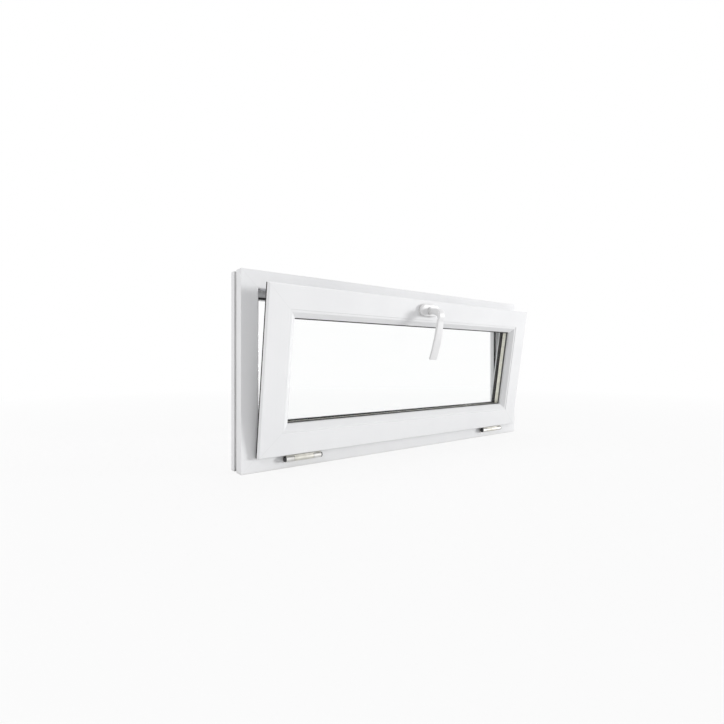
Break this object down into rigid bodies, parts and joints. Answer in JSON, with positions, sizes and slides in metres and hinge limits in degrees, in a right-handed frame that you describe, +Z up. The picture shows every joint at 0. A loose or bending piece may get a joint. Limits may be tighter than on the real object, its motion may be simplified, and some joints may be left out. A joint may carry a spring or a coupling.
{
  "type": "hopper window",
  "caption": "White bottom-hung hopper window, its double-glazed sash tilted into the room on hinges and stays, with a turning handle.",
  "frame": {"origin": "underside of the sill at mid-width, in the middle of its flat room-side strip", "axes": "+X along the width, +Y outdoors, +Z up"},
  "size_m": [1, 0.1878, 0.45],
  "materials": {
    "frame_profile": "satin white profile",
    "sash_profile": "satin white profile",
    "glazing_bead": "satin white profile",
    "rubber_seal": "matt black rubber",
    "edge_sealant": "matt dark sealant",
    "clear_glass": "clear float glass",
    "spacer_metal": "mill finish",
    "hinge_zinc": "pale zinc plate",
    "hinge_cap": "matt black caps",
    "zinc_steel": "bright zinc plate",
    "handle_coat": "white powder coat",
    "drain_cap": "plain white"
  },
  "bodies": {
    "frame": {"frame_head": "frame_profile", "frame_sill": "frame_profile", "frame_jamb_left": "frame_profile", "frame_jamb_right": "frame_profile", "frame_seal": "rubber_seal", "hinge_plate_left": "hinge_zinc", "hinge_plate_right": "hinge_zinc", "hinge_pin_left": "hinge_cap", "hinge_pin_right": "hinge_cap", "stay_bracket_left": "zinc_steel", "stay_bracket_right": "zinc_steel", "striker_left": "zinc_steel", "striker_right": "zinc_steel", "drain_cap_left": "drain_cap", "drain_cap_right": "drain_cap"},
    "sash": {"sash_top_rail": "sash_profile", "sash_bottom_rail": "sash_profile", "sash_stile_left": "sash_profile", "sash_stile_right": "sash_profile", "sash_seal": "rubber_seal", "bead_top": "glazing_bead", "bead_bottom": "glazing_bead", "bead_left": "glazing_bead", "bead_right": "glazing_bead", "inner_pane": "clear_glass", "outer_pane": "clear_glass", "edge_sealant": "edge_sealant", "spacer_bar": "spacer_metal", "glazing_seal_inner": "rubber_seal", "glazing_seal_outer": "rubber_seal", "gear_rail": "zinc_steel", "lock_cam_left": "zinc_steel", "lock_cam_right": "zinc_steel", "hinge_leaf_left": "hinge_zinc", "hinge_leaf_right": "hinge_zinc", "stay_guide_left": "zinc_steel", "stay_guide_right": "zinc_steel", "handle_rose": "handle_coat"},
    "handle": {"handle_lever": "handle_coat", "handle_spindle": "zinc_steel"},
    "stay_left": {"stay_arm_left": "zinc_steel", "stay_pin_left": "zinc_steel"},
    "stay_right": {"stay_arm_right": "zinc_steel", "stay_pin_right": "zinc_steel"}
  },
  "joints": [
    {"name": "sash_tilt", "type": "hinge", "parent": "frame", "child": "sash", "pos_m": [0, -0.0243, 0.023], "axis": [1, 0, 0], "range_deg": [-8.5, 0]},
    {"name": "handle_turn", "type": "hinge", "parent": "sash", "child": "handle", "pos_m": [0, -0.08235, 0.38641], "axis": [0, -0.989, -0.1478], "range_deg": [0, 90]},
    {"name": "stay_swing_left", "type": "hinge", "parent": "frame", "child": "stay_left", "pos_m": [-0.43, 0, 0.4047], "axis": [0, 0, 1], "range_deg": [0, 18.19]},
    {"name": "stay_swing_right", "type": "hinge", "parent": "frame", "child": "stay_right", "pos_m": [0.43, 0, 0.4047], "axis": [0, 0, 1], "range_deg": [-18.19, 0]}
  ],
  "couplings": [
    {"joint": "stay_swing_left", "follows": "sash_tilt", "ratio": -2.1391},
    {"joint": "stay_swing_right", "follows": "sash_tilt", "ratio": 2.1391}
  ]
}
